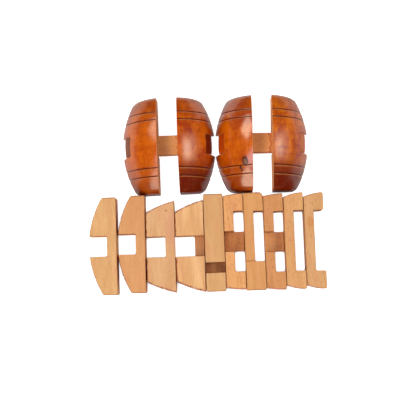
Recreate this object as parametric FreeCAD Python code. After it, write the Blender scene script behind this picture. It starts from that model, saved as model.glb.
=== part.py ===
import FreeCAD, Part

import os
from math import cos, radians, sqrt, tan

# Barrel burr puzzle, taken apart and laid out on a table: two stained barrel halves behind a row
# of ten raw sticks and staves. Put together, the twelve pieces fill a small turned barrel.
#
# Each piece is first cut in the barrel's own place: z runs up the barrel, the origin is at its
# middle, and the flat faces lie on a grid of half stick widths, called units here. The piece is
# then turned onto the face that it lies on. Sizes are in millimetres and angles in degrees.

stick_width = 14.4  # square stock of the sticks
play = 0.3  # space between two faces that pass each other in the barrel
barrel_height = 72.0
belly_radius = 35.8  # halfway up the barrel
head_radius = 26.0  # at both ends of the barrel
rim_round = 1.0  # rounding between the barrel's side and its ends
hoop_heights = (17.8, 23.8)  # hoop grooves, above and below the middle
groove_width = 0.9
groove_depth = 0.5
hook_corner = 1.8  # sawn off the hook stick's open end
table_gap = 0.32  # space between neighbours on the table
halves_shift = 5.7  # the two halves stand this far right of the row's middle

unit = (stick_width + play) / 2
inset = play / 2
half_height = barrel_height / 2
far = barrel_height + 2 * belly_radius  # outside the barrel in every direction

right = FreeCAD.Vector(1, 0, 0)
away = FreeCAD.Vector(0, 1, 0)
up = FreeCAD.Vector(0, 0, 1)
middle = FreeCAD.Vector(0, 0, 0)


def belly_at(height):
    """Barrel radius at a height from the middle, on the one arc that makes its side."""
    rise = belly_radius - head_radius
    arc = (half_height**2 + rise**2) / (2 * rise)
    return belly_radius - arc + sqrt(arc**2 - height**2)


def profile_point(radius, height):
    return FreeCAD.Vector(radius, 0, height)


def turned_barrel():
    foot = profile_point(head_radius, -half_height)
    head = profile_point(head_radius, half_height)
    low = profile_point(0, -half_height)
    high = profile_point(0, half_height)
    side = Part.Arc(foot, profile_point(belly_radius, 0), head)
    lines = [Part.LineSegment(*ends) for ends in ((head, high), (high, low), (low, foot))]
    outline = Part.Wire([curve.toShape() for curve in [side] + lines])
    solid = Part.Face(outline).revolve(middle, up, 360)
    solid = solid.makeFillet(rim_round, [edge for edge in solid.Edges if is_rim(edge)])
    for height in hoop_heights:
        for level in (height, -height):
            solid = solid.cut(hoop_groove(level))
    return solid


def is_rim(edge):
    box = edge.BoundBox
    return box.ZLength < 0.01 and box.XLength > head_radius


def hoop_groove(level):
    """Ring with a V section whose point is groove_depth under the barrel's side."""
    surface = belly_at(level)
    spare = groove_depth  # the ring stands this far out of the side
    flare = groove_width / 2 * (groove_depth + spare) / groove_depth
    corners = [
        profile_point(surface - groove_depth, level),
        profile_point(surface + spare, level + flare),
        profile_point(surface + spare, level - flare),
    ]
    section = Part.Face(Part.makePolygon(corners + corners[:1]))
    return section.revolve(middle, up, 360)


def grid_box(spans, margin):
    """Box between grid planes, in units, grown by margin there; None means past the barrel."""
    low, size = [], []
    for start, end in spans:
        near_face = -far if start is None else start * unit - margin
        far_face = far if end is None else end * unit + margin
        low.append(near_face)
        size.append(far_face - near_face)
    return Part.makeBox(*size, FreeCAD.Vector(*low))


def wood(x, y, z):
    """Piece of the barrel between grid planes, drawn back from them for play."""
    return barrel.common(grid_box((x, y, z), -inset))


def recess(x, y, z):
    """Wood sawn away between grid planes, let in beyond them for play."""
    return grid_box((x, y, z), inset)


def one_solid(shape):
    if len(shape.Solids) != 1:
        raise ValueError("a piece came out as %d solids" % len(shape.Solids))
    return shape.Solids[0].removeSplitter()


def side_stave():
    """D-shaped stave between the halves, slotted for the frame sticks' ends."""
    stave = wood((2, None), (-1, 1), (None, None))
    return one_solid(stave.cut(recess((3, None), (None, None), (-1, 1))))


def head_stave():
    """Stave across one end of the barrel, slotted, with its neck halved to pass the key."""
    stave = wood((-1, 1), (None, None), (2, None))
    stave = stave.cut(recess((None, None), (-1, 1), (3, None)))
    return one_solid(stave.cut(recess((0, None), (-1, 1), (None, None))))


def key_stick():
    """Straight stick that locks the puzzle, with a groove for one head stave's neck."""
    stick = wood((0, 2), (-1, 1), (None, None))
    return one_solid(stick.cut(recess((None, 1), (None, None), (-3, -2))))


def hook_stick():
    """Stick beside the key, cut into a long hook over the cross sticks."""
    stick = wood((-2, 0), (-1, 1), (None, None))
    stick = one_solid(stick.cut(recess((-1, None), (None, None), (-2, 3))))
    return one_solid(stick.makeChamfer(hook_corner, [edge for edge in stick.Edges if is_hook_tip(edge)]))


def is_hook_tip(edge):
    box = edge.BoundBox
    return box.XMin > -inset - 0.01 and box.ZMin > half_height - 0.01


def cross_stick():
    """Stick from front to back, notched for the frame sticks and halved at its middle."""
    stick = wood((-1, 1), (None, None), (0, 2))
    for side in ((1, 3), (-3, -1)):
        stick = stick.cut(recess((None, None), side, (None, 1)))
    return one_solid(stick.cut(recess((0, None), (-1, 1), (None, None))))


def frame_stick():
    """Stick from side to side with one long notch; a pair frames the barrel's middle."""
    stick = wood((None, None), (0, 2), (-1, 1))
    return one_solid(stick.cut(recess((-3, 3), (None, 1), (None, None))))


def barrel_half():
    """Two cheeks glued to a rail; the channel left under the rail takes a frame stick."""
    seat = 3 * unit  # the rail's seat in the channel
    channel = Part.makeBox(2 * far, seat, stick_width + 2 * play, FreeCAD.Vector(-far, 0, -unit - inset))
    rail_box = Part.makeBox(2 * far, unit - inset, stick_width, FreeCAD.Vector(-far, 2 * unit + inset, -unit + inset))
    return {
        "left_cheek": one_solid(wood((1, None), (1, None), (None, None)).cut(channel)),
        "right_cheek": one_solid(wood((None, -1), (1, None), (None, None)).cut(channel)),
        "cross_rail": one_solid(barrel.common(rail_box)),
    }


def bounds(*shapes):
    """Tight box round some solids."""
    return Part.makeCompound(list(shapes)).optimalBoundingBox(False, False)


def laid(shape, ways, lean):
    """Turns a piece so that its x, y and z run these three ways, then swings it by its lean."""
    piece = shape.copy()
    piece.Placement = FreeCAD.Placement(middle, FreeCAD.Rotation(*ways, "ZXY"))
    sides = bounds(piece)
    piece.rotate(middle, up, lean)
    piece.translate(up * -bounds(piece).ZMin)
    return piece, sides.XMin, sides.XMax


def beside(cursor, side, lean, offset):
    """Where a leaning piece's middle goes for its side to cross the row's line at cursor."""
    return cursor - side / cos(radians(lean)) - offset * tan(radians(lean))


barrel = turned_barrel()

# name: the piece, the ways its x, y and z run on the table, its lean, its offset from the row's line
row = {
    "side_stave_1": (side_stave(), (-right, up, away), 1.9, -3.3),
    "side_stave_2": (side_stave(), (-right, up, away), 1.4, -2.0),
    "head_stave_1": (head_stave(), (-up, -away, -right), 2.0, -3.6),
    "head_stave_2": (head_stave(), (up, away, -right), 2.1, -3.0),
    "key_stick": (key_stick(), (-up, -right, away), 2.3, -1.3),
    "cross_stick_1": (cross_stick(), (up, away, -right), 2.3, -0.1),
    "hook_stick": (hook_stick(), (right, -up, away), 2.4, 0.0),
    "cross_stick_2": (cross_stick(), (up, away, -right), 2.4, -0.2),
    "frame_stick_1": (frame_stick(), (away, -right, up), 2.2, 0.4),
    "frame_stick_2": (frame_stick(), (away, -right, up), 2.1, 0.5),
}

nodes = {}
cursor = 0
last_lean = row["side_stave_1"][2]
for name, (shape, ways, lean, offset) in row.items():
    piece, left_side, right_side = laid(shape, ways, lean)
    cursor += table_gap + half_height * radians(abs(lean - last_lean))
    place = beside(cursor, left_side, lean, offset)
    cursor += right_side - left_side
    last_lean = lean
    piece.translate(FreeCAD.Vector(place, offset, 0))
    nodes[name] = piece

# name: the half's lean, the side it stands on, and the pieces of the row right in front of it
halves = {
    "left_half": (2.4, -1, ("side_stave_2", "head_stave_1", "head_stave_2")),
    "right_half": (0.8, 1, ("cross_stick_1", "hook_stick", "cross_stick_2", "frame_stick_1")),
}
reach = sqrt(belly_at(unit) ** 2 - unit**2)  # half the width of a half where it is widest
swing = unit * radians(abs(halves["left_half"][0] - halves["right_half"][0]))
row_middle = bounds(*nodes.values()).Center.x
for half, (lean, side, in_front) in halves.items():
    bits = barrel_half()
    body, _, _ = laid(Part.makeCompound(list(bits.values())), (-right, up, away), lean)
    front = max(bounds(nodes[name]).YMax for name in in_front) + table_gap
    place = row_middle + halves_shift + side * (reach + (table_gap + swing) / 2)
    body.translate(FreeCAD.Vector(place, front - bounds(body).YMin, 0))
    for bit, solid in zip(bits, body.Solids):
        nodes[half + "_" + bit] = solid

whole = bounds(*nodes.values())
os.makedirs("parts", exist_ok=True)
for name, piece in nodes.items():
    piece.translate(FreeCAD.Vector(-whole.Center.x, -whole.Center.y, -whole.ZMin))
    piece.exportStep("parts/%s.step" % name)
    box = bounds(piece)
    print("%-24s %6.2f x %6.2f x %6.2f mm" % (name, box.XLength, box.YLength, box.ZLength))
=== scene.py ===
from math import atan2, cos, pi, radians, sin, sqrt

import bmesh
import bpy
from mathutils import Matrix, Vector


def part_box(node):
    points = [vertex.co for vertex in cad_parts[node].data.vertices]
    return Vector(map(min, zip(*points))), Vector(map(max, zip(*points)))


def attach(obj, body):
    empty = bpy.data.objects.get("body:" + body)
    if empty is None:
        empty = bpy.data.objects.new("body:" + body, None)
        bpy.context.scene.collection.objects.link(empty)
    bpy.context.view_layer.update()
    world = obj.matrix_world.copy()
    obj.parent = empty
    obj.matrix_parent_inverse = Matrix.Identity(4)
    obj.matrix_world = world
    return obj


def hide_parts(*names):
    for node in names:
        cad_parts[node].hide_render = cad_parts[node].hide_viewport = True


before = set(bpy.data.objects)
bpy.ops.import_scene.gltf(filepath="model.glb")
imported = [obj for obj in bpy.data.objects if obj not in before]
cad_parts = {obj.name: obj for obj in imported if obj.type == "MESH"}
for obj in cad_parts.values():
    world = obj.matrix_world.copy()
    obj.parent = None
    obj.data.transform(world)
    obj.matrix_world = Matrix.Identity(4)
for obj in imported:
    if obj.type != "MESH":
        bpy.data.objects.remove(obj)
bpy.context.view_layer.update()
print("frame loaded:", len(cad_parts), "nodes")

mm = 0.001
tiny = 0.01 * mm  # closer than this is the same place
slack = 0.05 * mm  # for faces that lie along a saw cut

# The barrel that the twelve pieces fill. Each piece is cut in the barrel's own place, z up the
# barrel and the origin at its middle, then turned onto the face that it lies on.
barrel = {
    "height": 72 * mm,
    "bellyRadius": 35.8 * mm,
    "headRadius": 26 * mm,
    "rimRound": 1.2 * mm,  # round the staves' heads; the cheeks have their own
    "hoopHeights": (17.8 * mm, 23.8 * mm),
    "grooveWidth": 0.9 * mm,
    "grooveDepth": 0.5 * mm,
    "grooveSpread": 0.6,  # its rounded lips reach this share of its width to each side
    "sanding": 0.1 * mm,  # how far hand sanding left the side uneven
    "sanded": 0.6,  # the share of that unevenness that lies under the turned side
    "lumps": 75.0,  # how many uneven places in a metre
}
stock = {
    "width": 14.4 * mm,
    "play": 0.3 * mm,
    "edge": 0.3 * mm,  # rubbed edges
    "endEdge": 0.8 * mm,  # round the sticks' and staves' ends
    "cheekEdge": 0.35 * mm,  # the halves are sanded rounder
    "foot": 0.2 * mm,  # but not round their flat inner faces
    "joint": 0.2 * mm,  # nor where cheek and rail meet
    "ear": 1.4 * mm,  # the cheeks' corners beside the channel, down at the table
    "corner": 0.9 * mm,  # inside corners left by the saw
    "edgeSteps": 4,  # mesh strips round a rubbed edge
    "row": 1.6 * mm,  # spacing of mesh rows on turned faces
    "grooveRows": 4,  # rows from a groove's bottom to its lip
    "rimRows": 6,  # rows round a rim
    "arcSteps": 30,  # mesh columns round a cheek
    "turned": 1.5 * mm,  # what lies this near the barrel's belly is pushed onto its side
    "lacquer": 0.6,  # the share of a rubbed edge that lacquer covers
    "flat": 0.3,  # degrees: faces that bend less are one
    "rubbed": 25,  # degrees: edges that bend more are rubbed
    "crisp": 45,  # degrees: edges that bend more are shaded sharp
    "square": 0.9999,  # a sawn face's normal has a part this near to 1
    "endward": 0.7,  # and end grain's normal has one this high along the barrel
}
unit = (stock["width"] + stock["play"]) / 2
inset = stock["play"] / 2
halfHeight = barrel["height"] / 2
sideRise = barrel["bellyRadius"] - barrel["headRadius"]
sideArc = (halfHeight ** 2 + sideRise ** 2) / (2 * sideRise)  # radius of the side's one arc
right, away, up = Vector((1, 0, 0)), Vector((0, 1, 0)), Vector((0, 0, 1))


def srgb(red, green, blue):
    parts = [value / 255 for value in (red, green, blue)]
    return [p / 12.92 if p < 0.04045 else ((p + 0.055) / 1.055) ** 2.4 for p in parts] + [1]


def addNode(tree, kind, values=None, **settings):
    made = tree.nodes.new(kind)
    for key, value in settings.items():
        setattr(made, key, value)
    for key, value in (values or {}).items():
        plug(tree, made.inputs[key], value)
    return made


def plug(tree, socket, value):
    if isinstance(value, bpy.types.NodeSocket):
        tree.links.new(value, socket)
    else:
        socket.default_value = value


def maths(tree, operation, *values):
    made = addNode(tree, "ShaderNodeMath", operation=operation)
    for socket, value in zip(made.inputs, values):
        plug(tree, socket, value)
    return made.outputs[0]


def plus(tree, first, second):
    return maths(tree, "ADD", first, second)


def minus(tree, first, second):
    return maths(tree, "SUBTRACT", first, second)


def times(tree, first, second):
    return maths(tree, "MULTIPLY", first, second)


def atLeast(tree, value, low):
    return maths(tree, "MAXIMUM", value, low)


def apart(tree, first, second):  # how far apart two values are
    return maths(tree, "ABSOLUTE", minus(tree, first, second))


def root(tree, value):
    return maths(tree, "SQRT", value)


def fade(tree, value, low, high, start=0.0, end=1.0):  # smooth step from start to end
    made = addNode(tree, "ShaderNodeMapRange", interpolation_type="SMOOTHSTEP")
    numbers = {"Value": value, "From Min": low, "From Max": high, "To Min": start, "To Max": end}
    for key, number in numbers.items():
        plug(tree, made.inputs[key], number)
    return made.outputs["Result"]


def blendColour(tree, factor, under, over, way="MIX"):
    made = addNode(tree, "ShaderNodeMix", data_type="RGBA", blend_type=way)
    for index, value in ((0, factor), (6, under), (7, over)):
        plug(tree, made.inputs[index], value)
    return made.outputs[2]


def vectorMath(tree, operation, values):
    return addNode(tree, "ShaderNodeVectorMath", values, operation=operation).outputs


def splitVector(tree, vector):
    return addNode(tree, "ShaderNodeSeparateXYZ", {0: vector}).outputs


def readVector(tree, name):
    return addNode(tree, "ShaderNodeAttribute", attribute_name=name).outputs["Vector"]


def readFactor(tree, name):
    return addNode(tree, "ShaderNodeAttribute", attribute_name=name).outputs["Fac"]


def stretched(tree, vector, scale, shift=(0, 0, 0)):
    values = {"Vector": vector, "Scale": scale, "Location": shift}
    return addNode(tree, "ShaderNodeMapping", values).outputs[0]


seedShift = (3.7, 1.9, 5.3)  # moves a noise to a place of its own


def grainNoise(tree, vector, seed, scale, detail, roughness, distortion=0.0):
    place = stretched(tree, vector, scale, [seed * part for part in seedShift])
    values = {
        "Vector": place, "Scale": 1.0, "Detail": detail, "Roughness": roughness,
        "Distortion": distortion,
    }
    return addNode(tree, "ShaderNodeTexNoise", values).outputs[0]


def grainNoises(tree, vector, seed, table):
    return {
        name: grainNoise(tree, vector, seed + step, *settings)
        for name, (step, *settings) in table.items()
    }


def rimArch(tree, level, half, rim):  # how far a rounded rim stands out past its own middle
    past = atLeast(tree, minus(tree, level, minus(tree, half, rim)), 0.0)
    quarter = minus(tree, times(tree, rim, rim), times(tree, past, past))
    return root(tree, atLeast(tree, quarter, 0.0))


turnedSizes = {
    "Height": barrel["height"],
    "Belly Radius": barrel["bellyRadius"],
    "Head Radius": barrel["headRadius"],
    "Low Hoop": barrel["hoopHeights"][0],
    "High Hoop": barrel["hoopHeights"][1],
    "Groove Width": barrel["grooveWidth"],
    "Groove Depth": barrel["grooveDepth"],
    "Sanding": barrel["sanding"],
}


def turnedRadius(tree, given, level):  # the barrel's radius at a height from its middle
    rise = minus(tree, given["Belly Radius"], given["Head Radius"])
    half = times(tree, given["Height"], 0.5)
    bow = plus(tree, times(tree, half, half), times(tree, rise, rise))
    arc = maths(tree, "DIVIDE", bow, times(tree, rise, 2.0))
    drop = minus(tree, times(tree, arc, arc), times(tree, level, level))
    radius = plus(tree, minus(tree, given["Belly Radius"], arc), root(tree, drop))
    for hoop in ("Low Hoop", "High Hoop"):
        off = apart(tree, level, given[hoop])
        lip = times(tree, given["Groove Width"], barrel["grooveSpread"])
        share = maths(tree, "MINIMUM", maths(tree, "DIVIDE", off, lip), 1.0)
        swell = maths(tree, "COSINE", times(tree, share, pi))
        depth = times(tree, given["Groove Depth"], maths(tree, "MULTIPLY_ADD", swell, 0.5, 0.5))
        radius = minus(tree, radius, depth)
    rim = given["Rim Round"]
    return plus(tree, minus(tree, radius, rim), rimArch(tree, level, half, rim))


def namedAttribute(tree, name, kind):
    values = {"Name": name}
    return addNode(tree, "GeometryNodeInputNamedAttribute", values, data_type=kind).outputs[0]


def setMaterial(tree, geometry, faces, material):
    selection = namedAttribute(tree, faces, "BOOLEAN")
    values = {"Geometry": geometry, "Selection": selection, "Material": material}
    return addNode(tree, "GeometryNodeSetMaterial", values).outputs[0]


def turnedSideTree():  # pushes a piece's outer faces onto the barrel's side
    tree = bpy.data.node_groups.new("turnedSide", "GeometryNodeTree")
    face = tree.interface
    face.new_socket("Geometry", in_out="INPUT", socket_type="NodeSocketGeometry")
    for name in [*turnedSizes, "Rim Round", "Sanding Seed"]:
        face.new_socket(name, in_out="INPUT", socket_type="NodeSocketFloat")
    for name in ("Lacquer", "End Grain"):
        face.new_socket(name, in_out="INPUT", socket_type="NodeSocketMaterial")
    face.new_socket("Geometry", in_out="OUTPUT", socket_type="NodeSocketGeometry")
    given = addNode(tree, "NodeGroupInput").outputs

    place = addNode(tree, "GeometryNodeInputPosition").outputs[0]
    split = splitVector(tree, place)
    radius = turnedRadius(tree, given, maths(tree, "ABSOLUTE", split[2]))
    values = {"Vector": place, "W": given["Sanding Seed"], "Scale": barrel["lumps"], "Detail": 1.0}
    lumps = addNode(tree, "ShaderNodeTexNoise", values, noise_dimensions="4D").outputs[0]
    uneven = times(tree, minus(tree, lumps, barrel["sanded"]), given["Sanding"])
    radius = plus(tree, radius, uneven)

    outward = namedAttribute(tree, "outward", "FLOAT_VECTOR")
    below = namedAttribute(tree, "below", "FLOAT")
    flat = addNode(tree, "ShaderNodeCombineXYZ", {0: split[0], 1: split[1]}).outputs[0]
    ahead = vectorMath(tree, "DOT_PRODUCT", {0: flat, 1: outward})["Value"]
    square = vectorMath(tree, "DOT_PRODUCT", {0: flat, 1: flat})["Value"]
    inside = minus(tree, square, times(tree, radius, radius))
    reach = root(tree, atLeast(tree, minus(tree, times(tree, ahead, ahead), inside), 0.0))
    travel = minus(tree, minus(tree, reach, ahead), below)
    push = vectorMath(tree, "SCALE", {0: outward, "Scale": travel})[0]

    values = {"Geometry": given["Geometry"], "Offset": push}
    moved = addNode(tree, "GeometryNodeSetPosition", values).outputs[0]
    whole = addNode(tree, "GeometryNodeRealizeInstances", {"Geometry": moved}).outputs[0]
    stained = setMaterial(tree, whole, "skin", given["Lacquer"])
    dressed = setMaterial(tree, stained, "ends", given["End Grain"])
    addNode(tree, "NodeGroupOutput", {0: dressed})
    return tree


turnedSide = turnedSideTree()


def turnSide(piece, look, rim=barrel["rimRound"]):
    modifier = piece.modifiers.new("turned side", "NODES")
    modifier.node_group = turnedSide
    values = dict(turnedSizes)
    values["Rim Round"] = rim
    values["Sanding Seed"] = look["seed"]
    values["Lacquer"] = stainedWood(piece.name + " stained", **look)
    values["End Grain"] = stainedWood(piece.name + " ends", **dict(look, **endGrain))
    for item in turnedSide.interface.items_tree:
        if item.in_out == "INPUT" and item.name in values:
            modifier[item.identifier] = values[item.name]
    applyModifiers(piece)


def applyModifiers(piece):
    depsgraph = bpy.context.evaluated_depsgraph_get()
    finished = piece.evaluated_get(depsgraph)
    mesh = bpy.data.meshes.new_from_object(
        finished, preserve_all_data_layers=True, depsgraph=depsgraph)
    piece.modifiers.clear()
    spent = piece.data
    piece.data = mesh
    bpy.data.meshes.remove(spent)


def meshPiece(name, bm):
    mesh = bpy.data.meshes.new(name)
    bm.to_mesh(mesh)
    bm.free()
    piece = bpy.data.objects.new(name, mesh)
    bpy.context.scene.collection.objects.link(piece)
    return piece


def blockPiece(name, low, high):
    bm = bmesh.new()
    bmesh.ops.create_cube(bm, size=1)
    for vert in bm.verts:
        vert.co = [a + (c + 0.5) * (b - a) for a, b, c in zip(low, high, vert.co)]
    return meshPiece(name, bm)


def gridCorners(spans, margin, reach):  # a span's open end goes as far as reach
    low, high = [], []
    for (start, end), far in zip(spans, reach):
        low.append(-far if start is None else start * unit - margin)
        high.append(far if end is None else end * unit + margin)
    return low, high


def everything(bm):
    return bm.verts[:] + bm.edges[:] + bm.faces[:]


def sawOut(piece, blocks):
    for low, high in blocks:
        saw = blockPiece("saw", low, high)
        cut = piece.modifiers.new("cut", "BOOLEAN")
        cut.operation = "DIFFERENCE"
        cut.solver = "EXACT"
        cut.object = saw
        applyModifiers(piece)
        bpy.data.objects.remove(saw)


def trimCorner(piece, point, direction):  # saws off what lies past a plane
    bm = bmesh.new()
    bm.from_mesh(piece.data)
    cut = bmesh.ops.bisect_plane(
        bm, geom=everything(bm), plane_co=point, plane_no=direction, clear_outer=True)
    border = [item for item in cut["geom_cut"] if isinstance(item, bmesh.types.BMEdge)]
    bmesh.ops.contextual_create(bm, geom=border)
    bm.to_mesh(piece.data)
    bm.free()


def rubEdges(piece, widthOf):
    bm = bmesh.new()
    bm.from_mesh(piece.data)
    bmesh.ops.dissolve_limit(
        bm, angle_limit=radians(stock["flat"]), verts=bm.verts[:], edges=bm.edges[:])
    weight = bm.edges.layers.float.new("bevel_weight_edge")
    for edge in bm.edges:
        bend = edge.calc_face_angle_signed()
        if abs(bend) > radians(stock["rubbed"]):
            edge[weight] = (stock["corner"] if bend < 0 else widthOf(edge)) / mm
    bm.to_mesh(piece.data)
    bm.free()
    bevel = piece.modifiers.new("rubbed edges", "BEVEL")
    bevel.width = 1 * mm  # so that an edge's weight is its width in mm
    bevel.segments = stock["edgeSteps"]
    bevel.limit_method = "WEIGHT"
    bevel.use_clamp_overlap = False
    applyModifiers(piece)


def rowHeights(low, high, rim):  # even rows, and closer ones at the hoop grooves and round the rims
    count = stock["grooveRows"]
    grooves = []
    for step in range(-count, count + 1):
        offset = step / count * barrel["grooveSpread"] * barrel["grooveWidth"]
        grooves += [side * hoop + offset for hoop in barrel["hoopHeights"] for side in (-1, 1)]
    gap = stock["row"] / 3
    count = int(barrel["height"] / stock["row"])
    even = [-halfHeight + barrel["height"] * step / count for step in range(1, count)]
    even = [level for level in even if min(abs(level - groove) for groove in grooves) > gap]
    angles = [radians(90 * step / stock["rimRows"]) for step in range(stock["rimRows"])]
    rims = [halfHeight - rim * (1 - sin(angle)) for angle in angles]
    rims += [-level for level in rims]
    inner = [level for level in grooves + even if low + mm < level < high - mm]
    return sorted(inner + [level for level in rims if low < level < high])


def sliceRows(bm, axis, levels):
    direction = (right, away, up)[axis]
    for level in levels:
        bmesh.ops.bisect_plane(
            bm, geom=everything(bm), plane_co=direction * level, plane_no=direction, dist=tiny)


def insideBlock(point, low, high):
    return 1 if all(a - slack < p < b + slack for a, p, b in zip(low, point, high)) else 0


def markWood(piece, columnAxis, outwardOf, recesses, lacquerDepth, rim=barrel["rimRound"]):
    bm = bmesh.new()
    bm.from_mesh(piece.data)
    heights = [vert.co.z for vert in bm.verts]
    sliceRows(bm, 2, rowHeights(min(heights), max(heights), rim))
    if columnAxis is not None:
        places = [vert.co[columnAxis] for vert in bm.verts]
        low = min(places) + stock["corner"]
        span = max(places) - stock["corner"] - low
        steps = round(span / stock["row"])
        sliceRows(bm, columnAxis, [low + span * step / steps for step in range(steps + 1)])
    outward = bm.verts.layers.float_vector.new("outward")
    below = bm.verts.layers.float.new("below")
    skin = bm.faces.layers.bool.new("skin")
    ends = bm.faces.layers.bool.new("ends")
    edge = bm.faces.layers.float.new("edge")
    cut = bm.faces.layers.float.new("cut")
    for vert in bm.verts:
        direction, depth = outwardOf(vert.co)
        if depth < stock["turned"]:
            vert[outward] = direction
            vert[below] = depth
        else:
            vert[below] = 1
    headLevel = halfHeight - stock["lacquer"] * stock["edge"]
    for face in bm.faces:
        middle = face.calc_center_median()
        deepest = max(vert[below] for vert in face.verts)
        turned = deepest < lacquerDepth(middle)
        ended = min(abs(vert.co.z) for vert in face.verts) > headLevel
        square = max(abs(part) for part in face.normal) > stock["square"]
        sawn = max([insideBlock(middle, *block) for block in recesses] + [0])
        face[skin] = turned or ended
        face[ends] = ended and abs(face.normal.z) > stock["endward"]
        face[cut] = 0 if turned or ended else sawn
        face[edge] = 0 if square or deepest < tiny else 1
    bm.to_mesh(piece.data)
    bm.free()


def finishSides(piece, grainAxis):
    mesh = piece.data
    turned = mesh.attributes.new("turned", "FLOAT_VECTOR", "POINT")
    grain = mesh.attributes.new("grain", "FLOAT_VECTOR", "POINT")
    for index, vert in enumerate(mesh.vertices):
        turned.data[index].vector = vert.co
        grain.data[index].vector = [vert.co[(grainAxis + step) % 3] for step in range(3)]
    bm = bmesh.new()
    bm.from_mesh(mesh)
    for face in bm.faces:
        face.smooth = True
    for edge in bm.edges:
        edge.smooth = edge.calc_face_angle(0) < radians(stock["crisp"])
    bm.to_mesh(mesh)
    bm.free()
    weigh = piece.modifiers.new("even shading", "WEIGHTED_NORMAL")
    weigh.keep_sharp = True
    applyModifiers(piece)


def alongAxis(axis):  # a stick's two ends, pushed along the stick onto the barrel's side
    def outwardOf(point):
        side = 1 if point[axis] > 0 else -1
        return side * (right, away, up)[axis], barrel["bellyRadius"] - abs(point[axis])
    return outwardOf


def noTurning(point):
    return Vector((0, 0, 0)), 1


def fromCorner(point):  # a cheek's round side, pushed away from its inside corner
    corner = Vector(((unit + inset) * (1 if point.x > 0 else -1), unit + inset, 0))
    arm = Vector((point.x, point.y, 0)) - corner
    if arm.length < unit:
        return noTurning(point)
    direction = arm.normalized()
    ahead = corner.dot(direction)
    reach = sqrt(ahead ** 2 - corner.length_squared + barrel["bellyRadius"] ** 2) - ahead
    return direction, reach - arm.length


def layDown(pieces, nodes, ways, lean):
    turn = Matrix.Rotation(radians(lean), 3, "Z") @ Matrix(ways).transposed()
    for piece in pieces:
        piece.data.transform(turn.to_4x4())
    corners = [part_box(node) for node in nodes]
    points = [vert.co for piece in pieces for vert in piece.data.vertices]
    shift = []
    for axis in range(3):
        low = min(box[0][axis] for box in corners)
        high = max(box[1][axis] for box in corners)
        ownLow = min(point[axis] for point in points)
        ownHigh = max(point[axis] for point in points)
        shift.append(low - ownLow if axis == 2 else (low + high - (ownLow + ownHigh)) / 2)
    for piece in pieces:
        piece.data.transform(Matrix.Translation(shift))
        piece.data.update()


def depthBelowSkin(tree, rim):  # how deep in the barrel a point of the wood lies
    split = splitVector(tree, readVector(tree, "turned"))
    square = plus(tree, times(tree, split[0], split[0]), times(tree, split[1], split[1]))
    drop = root(tree, minus(tree, sideArc ** 2, times(tree, split[2], split[2])))
    level = maths(tree, "ABSOLUTE", split[2])
    side = plus(tree, drop, barrel["bellyRadius"] - sideArc - rim)
    side = plus(tree, side, rimArch(tree, level, halfHeight, rim))
    sideDepth = minus(tree, side, root(tree, square))
    return maths(tree, "MINIMUM", sideDepth, minus(tree, halfHeight, level))


def onSide(x, z):  # the point of the barrel's side above x and z, in mm
    radius = (barrel["bellyRadius"] - sideArc + sqrt(sideArc ** 2 - (z * mm) ** 2)) / mm
    return x, sqrt(radius ** 2 - x ** 2), z


def distanceFrom(tree, vector, centre, scale):  # centre in mm
    moved = vectorMath(tree, "SUBTRACT", {0: vector, 1: [part * mm for part in centre]})[0]
    sized = vectorMath(tree, "MULTIPLY", {0: moved, 1: scale})[0]
    return vectorMath(tree, "LENGTH", {0: sized})["Value"]


def wandering(tree, distance, noise, reach):  # makes a smooth border uneven
    return plus(tree, distance, times(tree, minus(tree, noise, 0.5), reach))


spotFade = (0.4, 1.1)  # shares of a spot's radius where it starts and ends to fade


def addSpots(tree, turned, colour, wobble, spots):
    for centre, radius, stretch, tint, strength in spots:  # centre and radius in mm
        inner, outer = [share * radius * mm for share in spotFade]
        far = distanceFrom(tree, turned, centre, stretch)
        far = wandering(tree, far, wobble, radius * mm)
        share = fade(tree, far, inner, outer, strength, 0.0)
        colour = blendColour(tree, share, colour, tint)
    return colour


def newMaterial(name):
    material = bpy.data.materials.new(name)
    material.use_nodes = True
    return material, material.node_tree, material.node_tree.nodes["Principled BSDF"]


def addBump(tree, shader, parts, look):
    height = 0.0
    for name, part in parts.items():
        height = maths(tree, "MULTIPLY_ADD", part, look["relief"][name], height)
    bump = addNode(tree, "ShaderNodeBump", dict(look["bump"], Height=height))
    plug(tree, shader.inputs["Normal"], bump.outputs[0])


stainStep = 0.5  # from the seed of a piece's raw wood to that of its stain

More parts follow.
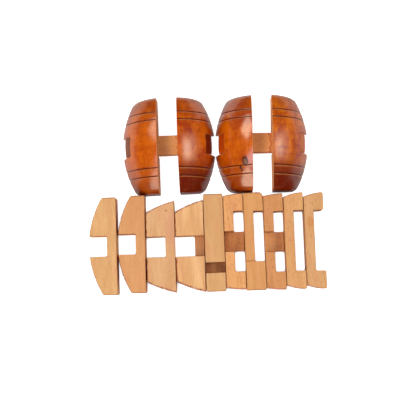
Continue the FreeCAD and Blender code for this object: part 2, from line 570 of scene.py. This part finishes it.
sawnLook = {
    "light": srgb(232, 181, 130),
    "dark": srgb(203, 143, 93),
    "fleck": srgb(160, 98, 56),
    "heart": srgb(224, 150, 108),
    "stain": srgb(158, 66, 22),
    "rub": srgb(160, 98, 58),
    "cutTintAndShade": (0.80, 0.68, 0.55, 1),  # notches show the saw's rougher, browner cut, darkened further as painted shade in the recesses
    "seed": 1.0,
    "figure": 0.5,
    "flecks": 0.5,
    "heartShare": 0.45,
    "bleed": 0.5 * mm,  # how far stain soaked in from the barrel's side
    "rim": barrel["rimRound"],
    "spots": [],
    "run": None,  # on a rail: the stain run's reach from the cheek, strength of its outline
    "specular": 0.3,
    "noises": {  # seed step, scale along and across the grain, detail, roughness, distortion
        "board": (0, (22, 130, 130), 3, 0.55, 0.6),
        "fibre": (1, (160, 2300, 2300), 2, 0.6),
        "dash": (2, (430, 2600, 2600), 1, 0.5),
        "cloud": (3, (70, 260, 260), 3, 0.5, 0.3),
        "wick": (4, (300, 1100, 1100), 2, 0.6),
    },
    "ramps": {  # where a noise starts and ends to matter, and what it gives there
        "board": (0.3, 0.7),
        "fibre": (0.25, 0.75, 0.0, 0.35),
        "heart": (0.45, 0.75),
        "fleck": (0.6, 0.72),
        "cut": (0.2, 0.7, 0.7, 1.0),
        "worn": (0.2, 0.6, 0.25, 0.6),
        "wick": (0.3, 0.75, 0.2, 2.0),
        "soak": (0.3, 1.0, 0.9, 0.0),
        "roughness": (0.2, 0.8, 0.5, 0.68),
    },
    "sawMarks": {"Scale": 260.0, "Distortion": 1.5, "Detail": 1.0},
    "sawSlant": (1, 0.12, 0.12),  # saw lines run nearly straight across the grain
    "relief": {"fibre": 0.7, "saw": 0.16, "flecks": -0.5},
    "bump": {"Strength": 0.5, "Distance": 0.08 * mm},
}


def sawnWood(name, **changes):
    look = dict(sawnLook, **changes)
    ramps = look["ramps"]
    material, tree, shader = newMaterial(name)
    grain = readVector(tree, "grain")
    turned = readVector(tree, "turned")
    noise = grainNoises(tree, grain, look["seed"], look["noises"])
    board = times(tree, fade(tree, noise["board"], *ramps["board"]), look["figure"])
    tone = plus(tree, board, fade(tree, noise["fibre"], *ramps["fibre"]))
    colour = blendColour(tree, tone, look["light"], look["dark"])
    heart = times(tree, fade(tree, noise["cloud"], *ramps["heart"]), look["heartShare"])
    colour = blendColour(tree, heart, colour, look["heart"])
    flecks = times(tree, fade(tree, noise["dash"], *ramps["fleck"]), look["flecks"])
    colour = blendColour(tree, flecks, colour, look["fleck"])
    # cut faces in recesses: browner saw cut and painted shade
    cut = times(tree, readFactor(tree, "cut"), fade(tree, noise["cloud"], *ramps["cut"]))
    colour = blendColour(tree, cut, colour, look["cutTintAndShade"], "MULTIPLY")
    worn = times(tree, readFactor(tree, "edge"), fade(tree, noise["cloud"], *ramps["worn"]))
    colour = blendColour(tree, worn, colour, look["rub"])
    front = times(tree, fade(tree, noise["wick"], *ramps["wick"]), look["bleed"])
    depth = maths(tree, "DIVIDE", depthBelowSkin(tree, look["rim"]), front)
    colour = blendColour(tree, fade(tree, depth, *ramps["soak"]), colour, look["stain"])
    colour = addSpots(tree, turned, colour, noise["cloud"], look["spots"])
    if look["run"]:
        colour = addRun(tree, turned, colour, look)
    plug(tree, shader.inputs["Base Color"], colour)
    plug(tree, shader.inputs["Roughness"], fade(tree, noise["fibre"], *ramps["roughness"]))
    values = dict(look["sawMarks"], Vector=stretched(tree, grain, look["sawSlant"]))
    saw = addNode(tree, "ShaderNodeTexWave", values, bands_direction="X").outputs["Fac"]
    addBump(tree, shader, {"fibre": noise["fibre"], "saw": saw, "flecks": flecks}, look)
    shader.inputs["Specular IOR Level"].default_value = look["specular"]
    return material


runLook = {
    "noises": {"lobes": (6, (40, 40, 230), 1, 0.4)},
    "lobes": (0.35, 0.65, 0.15, 1.0),  # each lobe's share of the run's reach
    "colour": srgb(214, 122, 60),
    "fill": (-0.15 * mm, 0.1 * mm, 0.65, 0.0),  # past the lobes' border
    "outline": (0.15 * mm, 0.5 * mm),
    "outlineInset": 0.1 * mm,
}


def addRun(tree, turned, colour, look):  # stain that crept along the rail from the right cheek
    farthest, strength = look["run"]
    lobes = grainNoises(tree, turned, look["seed"], runLook["noises"])["lobes"]
    reach = times(tree, fade(tree, lobes, *runLook["lobes"]), farthest)
    inward = minus(tree, plus(tree, splitVector(tree, turned)[0], unit), reach)
    colour = blendColour(tree, fade(tree, inward, *runLook["fill"]), colour, runLook["colour"])
    border = apart(tree, inward, -runLook["outlineInset"])
    outline = fade(tree, border, *runLook["outline"], strength, 0.0)
    return blendColour(tree, outline, colour, look["stain"])


stainedLook = {
    "bright": srgb(225, 106, 2),
    "deep": srgb(166, 41, 0),
    "shade": srgb(98, 9, 0),
    # the rub colour serves worn edges, and the painted highlight on the grooves' lips
    "rub": srgb(206, 128, 72),
    "seed": 2.0,
    "blotch": 0.7,
    "pool": 0.3,  # painted shade low on the barrel
    "endShade": 0.3,  # darker towards both heads: partly stain, partly painted shade
    "skirt": 0.0,  # painted shade down at the table
    "spots": [],
    "knot": None,
    "coat": 1.0,
    "coatBlur": 0.18,
    "coatBend": 1.7,  # index of refraction
    "sheen": 0.08,
    "sheenTint": (1, 0.72, 0.4, 1),
    "noises": {  # seed step, scale across and along the barrel, detail, roughness, distortion
        "blotch": (0, (85, 85, 55), 4, 0.6, 0.8),
        "streak": (1, (900, 900, 55), 3, 0.6, 0.2),
        "pore": (2, (2600, 2600, 420), 1, 0.5),
        "mottle": (3, (620, 620, 380), 3, 0.65, 0.5),
        "rings": (5, (22, 22, 380), 2, 0.5, 0.25),  # marks of the turning tool
    },
    "ramps": {  # where a noise or a distance starts and ends to matter, and what it gives there
        "blotch": (0.3, 0.72),
        "streak": (0.3, 0.75, 0.0, 0.1),
        "mottle": (0.3, 0.72, -0.12, 0.22),
        "rings": (0.35, 0.7, -0.07, 0.16),
        "pore": (0.6, 0.72),
        "towardsEnds": (12 * mm, halfHeight),
        "heads": (halfHeight - 0.5 * mm, halfHeight - 0.1 * mm, 0.0, 0.55),
        "pool": (-26 * mm, -6 * mm),
        "paintedLowShadeStreaks": (0.25, 0.75, 1.12, 0.84),
        "skirt": (9 * mm, 22 * mm),
        # painted shade in the hoop grooves
        "groove": (0.3 * mm, 0.7 * mm, 0.82, 0.0),
        # painted highlight on the lip below each groove
        "lip": (0.1 * mm, 0.45 * mm, 0.55, 0.0),
        "worn": (0.35, 0.6, 0.1, 0.5),
        "roughness": (0.2, 0.8, 0.3, 0.42),
    },
    "poreShade": 0.25,
    "wander": 16 * mm,  # how uneven the borders of the shades are
    "paintedFootShadeWander": 6.4 * mm,  # and that of the painted shade at the table
    "lipDrop": 0.85 * mm,  # from a groove's middle to the lip that carries the painted highlight
    "relief": {"streak": 0.6, "pore": -0.4, "rings": 0.3, "mottle": 0.22, "knot": -2.5},
    "bump": {"Strength": 0.4, "Distance": 0.06 * mm},
}
endGrain = {
    "bright": srgb(182, 80, 12),
    "deep": srgb(126, 42, 4),
    "coat": 0.0,
    "sheen": 0.1,
    "knot": None,
}


def stainedWood(name, **changes):
    look = dict(stainedLook, **changes)
    ramps = look["ramps"]
    shade = look["shade"]
    material, tree, shader = newMaterial(name)
    turned = readVector(tree, "turned")
    split = splitVector(tree, turned)
    noise = grainNoises(tree, turned, look["seed"], look["noises"])
    tone = times(tree, fade(tree, noise["blotch"], *ramps["blotch"]), look["blotch"])
    for layer in ("streak", "mottle", "rings"):
        tone = plus(tree, tone, fade(tree, noise[layer], *ramps[layer]))
    colour = blendColour(tree, tone, look["bright"], look["deep"])
    pores = fade(tree, noise["pore"], *ramps["pore"])
    colour = blendColour(tree, times(tree, pores, look["poreShade"]), colour, shade)

    level = maths(tree, "ABSOLUTE", split[2])
    # darker towards both heads: partly stain, partly painted shade
    ends = wandering(tree, level, noise["blotch"], look["wander"])
    ends = fade(tree, ends, *ramps["towardsEnds"], 0.0, look["endShade"])
    colour = blendColour(tree, ends, colour, shade)
    colour = blendColour(tree, fade(tree, level, *ramps["heads"]), colour, shade)
    # painted shade low on the barrel, broken up by streaks
    pool = wandering(tree, split[2], noise["blotch"], look["wander"])
    pool = fade(tree, pool, *ramps["pool"], look["pool"], 0.0)
    pool = times(tree, pool, fade(tree, noise["streak"], *ramps["paintedLowShadeStreaks"]))
    colour = blendColour(tree, pool, colour, shade)
    # painted shade down at the table
    skirt = wandering(tree, split[1], noise["blotch"], look["paintedFootShadeWander"])
    skirt = fade(tree, skirt, *ramps["skirt"], look["skirt"], 0.0)
    colour = blendColour(tree, skirt, colour, shade)
    # painted shade in each hoop groove
    for hoop in barrel["hoopHeights"]:
        groove = fade(tree, apart(tree, level, hoop), *ramps["groove"])
        colour = blendColour(tree, groove, colour, shade)
        for side in (-1, 1):  # painted highlight, in the rub colour, on the lip nearer the barrel's lower head
            lip = apart(tree, split[2], side * hoop - look["lipDrop"])
            colour = blendColour(tree, fade(tree, lip, *ramps["lip"]), colour, look["rub"])
    worn = times(tree, readFactor(tree, "edge"), fade(tree, noise["streak"], *ramps["worn"]))
    colour = blendColour(tree, worn, colour, look["rub"])
    colour = addSpots(tree, turned, colour, noise["mottle"], look["spots"])

    parts = {name: noise[name] for name in ("streak", "rings", "mottle")}
    parts["pore"] = pores
    if look["knot"]:
        colour, parts["knot"] = addKnot(tree, turned, colour, noise["mottle"], look)
    addBump(tree, shader, parts, look)
    plug(tree, shader.inputs["Base Color"], colour)
    plug(tree, shader.inputs["Roughness"], fade(tree, noise["blotch"], *ramps["roughness"]))
    shader.inputs["Specular IOR Level"].default_value = look["sheen"]
    shader.inputs["Specular Tint"].default_value = look["sheenTint"]
    shader.inputs["Coat Weight"].default_value = look["coat"]
    shader.inputs["Coat Roughness"].default_value = look["coatBlur"]
    shader.inputs["Coat IOR"].default_value = look["coatBend"]
    return material


knotLook = {
    "squash": (1, 1, 0.7),  # longer up the barrel
    "wander": 0.5 * mm,
    "ringGap": 1.1 * mm,
    "swirl": (2.2 * mm, 5 * mm, 0.45, 0.0),  # grain that bends round it
    "core": (1.3 * mm, 1.9 * mm, 0.85, 0.0),
    "coreColour": srgb(128, 88, 66),
    "radius": 1.8 * mm,
    "bark": (0.2 * mm, 0.8 * mm, 0.85, 0.0),
    "barkColour": srgb(58, 20, 12),
}


def addKnot(tree, turned, colour, wobble, look):  # the colour, and where the knot's bark dips
    far = distanceFrom(tree, turned, look["knot"], knotLook["squash"])
    far = wandering(tree, far, wobble, knotLook["wander"])
    waves = maths(tree, "SINE", times(tree, far, 2 * pi / knotLook["ringGap"]))
    swirl = times(tree, atLeast(tree, waves, 0.0), fade(tree, far, *knotLook["swirl"]))
    colour = blendColour(tree, swirl, colour, look["shade"])
    core = fade(tree, far, *knotLook["core"])
    colour = blendColour(tree, core, colour, knotLook["coreColour"])
    bark = fade(tree, apart(tree, far, knotLook["radius"]), *knotLook["bark"])
    return blendColour(tree, bark, colour, knotLook["barkColour"]), bark


def camelName(node):
    first, *others = node.split("_")
    return first + "".join(word.capitalize() for word in others)


def makeStick(kind, node, ways, lean, look, prongEdge=stock["edge"]):
    name = camelName(node)
    reach = (barrel["bellyRadius"], barrel["bellyRadius"], halfHeight)
    piece = blockPiece(name, *gridCorners(kind["wood"], -inset, reach))
    past = [2 * far for far in reach]
    recesses = [gridCorners(spans, inset, past) for spans in kind["recesses"]]
    sawOut(piece, recesses)
    if "tip" in kind:
        trimCorner(piece, *kind["tip"])
    axis = kind["turnedAxis"]

    def widthOf(edge):
        first, last = [vert.co for vert in edge.verts]
        middle = (first + last) / 2
        if abs(middle.y - inset) < tiny and abs(first.z - last.z) > mm:
            return prongEdge
        if abs(middle.z) < halfHeight - tiny:
            return stock["edge"]
        onRim = axis is not None and abs(middle[axis]) > barrel["bellyRadius"] - tiny
        return 0 if onRim else stock["endEdge"]

    def lacquerDepth(point):
        return stock["lacquer"] * stock["edge"]

    rubEdges(piece, widthOf)
    columnAxis = None if axis is None else 1 - axis
    outwardOf = noTurning if axis is None else alongAxis(axis)
    markWood(piece, columnAxis, outwardOf, recesses, lacquerDepth)
    piece.data.materials.append(sawnWood(name + " sawn", **look))
    turnSide(piece, {"seed": look["seed"] + stainStep})
    finishSides(piece, kind["grainAxis"])
    layDown([piece], [node], ways, lean)
    slot = "stave" if "stave" in node else "stick"
    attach(piece, node)
    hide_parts(node)


# Each kind of stick and stave: the wood and its recesses between grid planes, in units, where
# None is past the barrel. Then each piece: the ways its x, y and z run on the table, and its lean.
sideStave = {
    "wood": ((2, None), (-1, 1), (None, None)),
    "recesses": [((3, None), (None, None), (-1, 1))],
    "grainAxis": 2,
    "turnedAxis": 0,
    "pieces": {
        "side_stave_1": {
            "ways": (-right, up, away),
            "lean": 1.9,
            "look": {
                "light": srgb(236, 184, 130),
                "dark": srgb(212, 154, 100),
                "seed": 1.3,
                "flecks": 0.25,
                "bleed": 0.35 * mm,
            },
        },
        "side_stave_2": {
            "ways": (-right, up, away),
            "lean": 1.4,
            "look": {
                "light": srgb(232, 169, 116),
                "dark": srgb(210, 142, 90),
                "seed": 7.1,
                "flecks": 0.25,
                "bleed": 0.35 * mm,
            },
        },
    },
}
headStave = {
    "wood": ((-1, 1), (None, None), (2, None)),
    "recesses": [
        ((None, None), (-1, 1), (3, None)),
        ((0, None), (-1, 1), (None, None)),
    ],
    "grainAxis": 1,
    "turnedAxis": 1,
    "pieces": {
        "head_stave_1": {
            "ways": (-up, -away, -right),
            "lean": 2.0,
            "look": {
                "light": srgb(234, 184, 138),
                "dark": srgb(212, 152, 102),
                "seed": 4.4,
                "flecks": 0.3,
                "bleed": 0.9 * mm,
                "spots": [
                    ((-7.2, -26.5, 20.6), 0.9, (1, 1.2, 0.6), srgb(150, 88, 50), 0.8),
                    ((-7.2, -12.0, 16.0), 7.0, (1, 0.4, 1), srgb(222, 156, 122), 0.6),
                ],
            },
        },
        "head_stave_2": {
            "ways": (up, away, -right),
            "lean": 2.1,
            "look": {
                "light": srgb(250, 200, 148),
                "dark": srgb(226, 166, 114),
                "seed": 9.2,
                "flecks": 0.3,
                "bleed": 1.0 * mm,
                "figure": 0.85,
                "heartShare": 0.25,
            },
        },
    },
}
keyStick = {
    "wood": ((0, 2), (-1, 1), (None, None)),
    "recesses": [((None, 1), (None, None), (-3, -2))],
    "grainAxis": 2,
    "turnedAxis": None,
    "pieces": {
        "key_stick": {
            "ways": (-up, -right, away),
            "lean": 2.3,
            "look": {
                "light": srgb(228, 176, 124),
                "dark": srgb(210, 152, 100),
                "seed": 12.6,
                "flecks": 0.15,
                # deep painted shade in the key stick's groove, over its browner cut
                "cutTintAndShade": (0.54, 0.36, 0.2, 1),
            },
        },
    },
}
hookCorner = 1.8 * mm
hookStick = {
    "wood": ((-2, 0), (-1, 1), (None, None)),
    "recesses": [((-1, None), (None, None), (-2, 3))],
    "grainAxis": 2,
    "turnedAxis": None,
    "tip": (  # a point and the outward direction of the cut across the corner
        Vector((-inset - hookCorner / 2, 0, halfHeight - hookCorner / 2)),
        Vector((1, 0, 1)).normalized(),
    ),
    "pieces": {
        "hook_stick": {
            "ways": (right, -up, away),
            "lean": 2.4,
            "look": {
                "light": srgb(230, 168, 110),
                "dark": srgb(210, 140, 78),
                "seed": 15.8,
                "flecks": 0.2,
            },
        },
    },
}
crossStick = {
    "wood": ((-1, 1), (None, None), (0, 2)),
    "recesses": [
        ((None, None), (1, 3), (None, 1)),
        ((None, None), (-3, -1), (None, 1)),
        ((0, None), (-1, 1), (None, None)),
    ],
    "grainAxis": 1,
    "turnedAxis": 1,
    "pieces": {
        "cross_stick_1": {
            "ways": (up, away, -right),
            "lean": 2.3,
            "look": {
                "light": srgb(244, 178, 118),
                "dark": srgb(222, 148, 92),
                "seed": 18.3,
                "flecks": 0.75,
                "cutTintAndShade": (0.72, 0.58, 0.42, 1),
            },
        },
        "cross_stick_2": {
            "ways": (up, away, -right),
            "lean": 2.4,
            "look": {
                "light": srgb(224, 157, 102),
                "dark": srgb(202, 130, 79),
                "seed": 21.7,
                "flecks": 0.85,
                "cutTintAndShade": (0.92, 0.92, 0.86, 1),
            },
        },
    },
}
frameStick = {
    "wood": ((None, None), (0, 2), (-1, 1)),
    "recesses": [((-3, 3), (None, 1), (None, None))],
    "grainAxis": 0,
    "turnedAxis": 0,
    "pieces": {
        "frame_stick_1": {
            "ways": (away, -right, up),
            "lean": 2.2,
            "prongEdge": 0.7 * mm,  # corners of the two prongs
            "look": {
                "light": srgb(236, 178, 122),
                "dark": srgb(214, 148, 92),
                "seed": 24.9,
                "flecks": 0.6,
            },
        },
        "frame_stick_2": {
            "ways": (away, -right, up),
            "lean": 2.1,
            "prongEdge": 1.4 * mm,
            "look": {
                "light": srgb(230, 176, 126),
                "dark": srgb(210, 148, 96),
                "seed": 27.2,
                "flecks": 0.55,
                "spots": [((14.0, 9.5, 7.2), 4.0, (0.8, 1, 1), srgb(206, 132, 70), 0.6)],
            },
        },
    },
}

for kind in (sideStave, headStave, keyStick, hookStick, crossStick, frameStick):
    for node, piece in kind["pieces"].items():
        makeStick(kind, node, **piece)
    print("made", ", ".join(kind["pieces"]))

half = {
    "ways": (-right, up, away),
    "seat": 3,  # the rail's seat, in units from the barrel's middle
    "rimRound": 3.4 * mm,  # the cheeks' heads are sanded rounder than the staves'
    "sides": {"left_cheek": 1, "right_cheek": -1},  # of the barrel's x, which runs left here
    "seedSteps": {"left_cheek": 0, "right_cheek": 3, "cross_rail": 6},
    "railWood": {"light": srgb(244, 176, 110), "dark": srgb(214, 140, 74)},
}
# How each half leans on the table, its raw wood, and the finish of each of its parts.
halves = {
    "left_half": {
        "lean": 2.4,
        "seed": 31.0,
        "raw": {"light": srgb(228, 168, 120), "dark": srgb(198, 136, 92)},
        "left_cheek": {
            "pool": 0.25,
            "endShade": 0.35,
            "blotch": 0.4,
            "skirt": 0.35,
            "coat": 0.7,
            "coatBlur": 0.2,
        },
        "right_cheek": {
            "pool": 0.85,
            "endShade": 0.3,
            "blotch": 0.75,
            "skirt": 0.45,
            "coat": 0.75,
            "coatBlur": 0.23,
        },
        # dark stain, standing partly as painted shade for the rail's end between the halves; the
        # spot lightens its outer end
        "cross_rail": {
            "bright": srgb(130, 38, 4),
            "deep": srgb(92, 16, 2),
            "coat": 0.3,
            "spots": [((34, 18, 0), 11.0, (1, 1, 0.7), srgb(136, 68, 30), 0.85)],
        },
        "run": (1.8 * mm, 0.35),  # how far stain crept along the rail, strength of its outline
    },
    "right_half": {
        "lean": 0.8,
        "seed": 47.0,
        "raw": {"light": srgb(246, 184, 124), "dark": srgb(222, 156, 98)},
        "left_cheek": {
            "pool": 0.25,
            "endShade": 0.35,
            "blotch": 0.55,
            "skirt": 0.5,
            "knot": onSide(13.2, -14.8),
            "spots": [  # torn wood below the knot
                (onSide(16.5, -19.2), 1.3, (1, 1, 0.8), srgb(70, 18, 8), 0.9),
                (onSide(15.4, -21.3), 1.2, (1, 1, 0.8), srgb(84, 26, 14), 0.85),
            ],
        },
        "right_cheek": {
            "bright": srgb(236, 120, 4),
            "pool": 0.85,
            "endShade": 0.3,
            "blotch": 0.75,
            "skirt": 0.25,
            "coat": 0.65,
            "coatBlur": 0.25,
        },
        "cross_rail": {
            "bright": srgb(214, 88, 6),
            "deep": srgb(166, 48, 2),
            "coat": 0.3,
            "spots": [((-34, 18, 0), 11.0, (1, 1, 0.7), srgb(196, 104, 48), 0.8)],
        },
        "run": (3.2 * mm, 0.95),
    },
}


def cheekBlock(name, side, low):  # a straight block whose round side steps round the belly
    reach = barrel["bellyRadius"]
    count = stock["arcSteps"]
    start = atan2(low, sqrt(reach ** 2 - low ** 2))
    angles = [start + (pi / 2 - 2 * start) * step / count for step in range(count + 1)]
    outline = [(low, low)] + [(reach * cos(angle), reach * sin(angle)) for angle in angles]
    bm = bmesh.new()
    bottom = bm.faces.new([bm.verts.new((side * x, y, -halfHeight)) for x, y in outline])
    top = bmesh.ops.extrude_face_region(bm, geom=[bottom])["geom"]
    verts = [item for item in top if isinstance(item, bmesh.types.BMVert)]
    bmesh.ops.translate(bm, vec=up * barrel["height"], verts=verts)
    bmesh.ops.recalc_face_normals(bm, faces=bm.faces[:])
    return meshPiece(name, bm)


def makeCheek(name, side, seed, raw, finish):
    low = unit + inset
    far = 2 * barrel["bellyRadius"]
    nearSide = 0.99 * barrel["bellyRadius"]  # past here an edge is on the round side
    channel = ((-far, -far, -low), (far, half["seat"] * unit, low))
    piece = cheekBlock(name, side, low)
    sawOut(piece, [channel])

    def widthOf(edge):
        middle = (edge.verts[0].co + edge.verts[1].co) / 2
        if abs(middle.z) > halfHeight - tiny and middle.xy.length > nearSide:
            return 0
        if middle.y < low + tiny:
            return stock["foot"]
        if abs(middle.z) > low + tiny or middle.xy.length < nearSide:
            return stock["cheekEdge"]
        height = min((middle.y - low) / (2 * unit - low), 1)
        return stock["ear"] + height * (stock["joint"] - stock["ear"])

    def lacquerDepth(point):
        nearEar = abs(point.z) < low + stock["ear"] and point.y < 2 * unit
        return stock["ear"] + slack if nearEar else stock["lacquer"] * stock["cheekEdge"]

    rim = half["rimRound"]
    rubEdges(piece, widthOf)
    markWood(piece, None, fromCorner, [channel], lacquerDepth, rim)
    piece.data.materials.append(sawnWood(name + " sawn", seed=seed, rim=rim, **raw))
    turnSide(piece, dict(finish, seed=seed + stainStep), rim)
    finishSides(piece, 2)
    return piece


def makeRail(name, seed, run, finish):
    spans = ((None, None), (2, half["seat"]), (-1, 1))
    low, high = gridCorners(spans, -inset, (barrel["bellyRadius"],) * 3)
    high[1] = half["seat"] * unit  # no play in the glued seat
    piece = blockPiece(name, low, high)

    def widthOf(edge):
        return stock["joint"]

    def lacquerDepth(point):
        return stock["lacquer"] * stock["joint"]

    rubEdges(piece, widthOf)
    markWood(piece, 1, alongAxis(0), [], lacquerDepth)
    piece.data.materials.append(sawnWood(name + " sawn", seed=seed, run=run, **half["railWood"]))
    turnSide(piece, dict(finish, seed=seed + stainStep))
    finishSides(piece, 0)
    return piece


for body, look in halves.items():
    parts = {}
    for part, step in half["seedSteps"].items():
        name = camelName(body + "_" + part)
        seed = look["seed"] + step
        if part == "cross_rail":
            parts[part] = makeRail(name, seed, look["run"], look[part])
        else:
            parts[part] = makeCheek(name, half["sides"][part], seed, look["raw"], look[part])
    nodes = [body + "_" + part for part in parts]
    layDown(list(parts.values()), nodes, half["ways"], look["lean"])
    for node, (part, piece) in zip(nodes, parts.items()):
        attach(piece, body)
        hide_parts(node)
    print("made", body)

studio = {
    "floorSize": 12,
    "floorTone": 0.92,
    "floorLift": 0.88,  # added for the camera and for reflections, so that lit floor is white
    "mirrorLift": 0.1,  # share of that lift in reflections
    "contact": 2.5 * mm,  # how near a piece the floor's lift fades, a painted contact shadow
    "contactRamp": (0.25, 0.55),
    "contactSamples": 16,
    "horizon": 0.14,
    "horizonBand": 0.3,  # sine of the elevation where the room goes dark
    "zenith": 0.05,
    "distance": 1.0,  # to each lamp, in metres
    "lamps": {  # direction from the table, size, watts, colour
        "leftBack": ((-0.70, 0.64, 1), (0.42, 0.40), 2.5, (1, 0.99, 0.8)),
        "leftFront": ((-0.88, -1.20, 1), (0.62, 0.66), 5.4, (1, 0.99, 0.8)),
        "top": ((-0.20, -0.10, 1), (0.28, 0.90), 2.8, (0.94, 0.94, 1.15)),
        "right": ((0.95, 0.10, 1), (0.36, 0.30), 2.0, (1, 0.99, 0.8)),
        "rightWide": ((1.25, 0.20, 1), (0.54, 0.66), 2.5, (1, 0.99, 0.8)),
    },
}


def makeFloor():
    bm = bmesh.new()
    bmesh.ops.create_grid(bm, x_segments=1, y_segments=1, size=studio["floorSize"] / 2)
    floor = meshPiece("floor", bm)
    material, tree, _ = newMaterial("floor paper")
    tree.nodes.clear()
    ray = addNode(tree, "ShaderNodeLightPath").outputs
    mirrored = maths(tree, "MAXIMUM", ray["Is Glossy Ray"], ray["Is Transmission Ray"])
    seen = maths(tree, "MULTIPLY_ADD", mirrored, studio["mirrorLift"], ray["Is Camera Ray"])
    paper = addNode(tree, "ShaderNodeBsdfDiffuse", {"Color": (studio["floorTone"],) * 3 + (1,)})
    openness = addNode(
        tree, "ShaderNodeAmbientOcclusion", {"Distance": studio["contact"]},
        samples=studio["contactSamples"]).outputs["AO"]
    lift = times(tree, seen, studio["floorLift"])
    # painted contact shadow: the lift fades where the floor lies near a piece
    lift = times(tree, lift, fade(tree, openness, *studio["contactRamp"]))
    glow = addNode(tree, "ShaderNodeEmission", {"Strength": lift})
    both = addNode(tree, "ShaderNodeAddShader", {0: paper.outputs[0], 1: glow.outputs[0]})
    addNode(tree, "ShaderNodeOutputMaterial", {0: both.outputs[0]})
    floor.data.materials.append(material)


def makeWorld():
    world = bpy.data.worlds.new("room")
    bpy.context.scene.world = world
    world.use_nodes = True
    tree = world.node_tree
    height = splitVector(tree, addNode(tree, "ShaderNodeTexCoord").outputs["Generated"])[2]
    band = studio["horizonBand"]
    strength = fade(tree, height, 0.0, band, studio["horizon"], studio["zenith"])
    background = tree.nodes["Background"]
    plug(tree, background.inputs["Strength"], strength)
    background.inputs["Color"].default_value = (1, 1, 1, 1)


def makeLamps():
    for name, (direction, size, watts, colour) in studio["lamps"].items():
        lamp = bpy.data.lights.new(name, "AREA")
        lamp.shape = "RECTANGLE"
        lamp.size = size[0]
        lamp.size_y = size[1]
        lamp.energy = watts
        lamp.color = colour
        rig = bpy.data.objects.new(name, lamp)
        bpy.context.scene.collection.objects.link(rig)
        aim = Vector(direction).normalized()
        rig.location = aim * studio["distance"]
        rig.rotation_euler = aim.to_track_quat("Z", "Y").to_euler()


view = {
    "lens": 77.9,  # in mm, as is the sensor
    "sensor": 36,
    "height": 675 * mm,
    "stand": (9.0 * mm, -61.5 * mm),  # from the aimed point to under the camera
    "aim": (-34.49 * mm, 25.75 * mm),  # from the hook stick's middle to the aimed point
}


def makeCamera():
    low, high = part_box("hook_stick")
    middle = (low + high) / 2
    target = Vector((middle.x + view["aim"][0], middle.y + view["aim"][1], 0))
    camera = bpy.data.objects.new("camera", bpy.data.cameras.new("camera"))
    camera.data.lens = view["lens"]
    camera.data.sensor_width = view["sensor"]
    camera.location = target + Vector((*view["stand"], view["height"]))
    back = (camera.location - target).normalized()
    side = away.cross(back).normalized()
    camera.rotation_euler = Matrix((side, back.cross(side), back)).transposed().to_euler()
    bpy.context.scene.collection.objects.link(camera)
    bpy.context.scene.camera = camera


makeFloor()
makeWorld()
makeLamps()
makeCamera()
bpy.context.scene.view_settings.view_transform = "Standard"
print("studio ready")
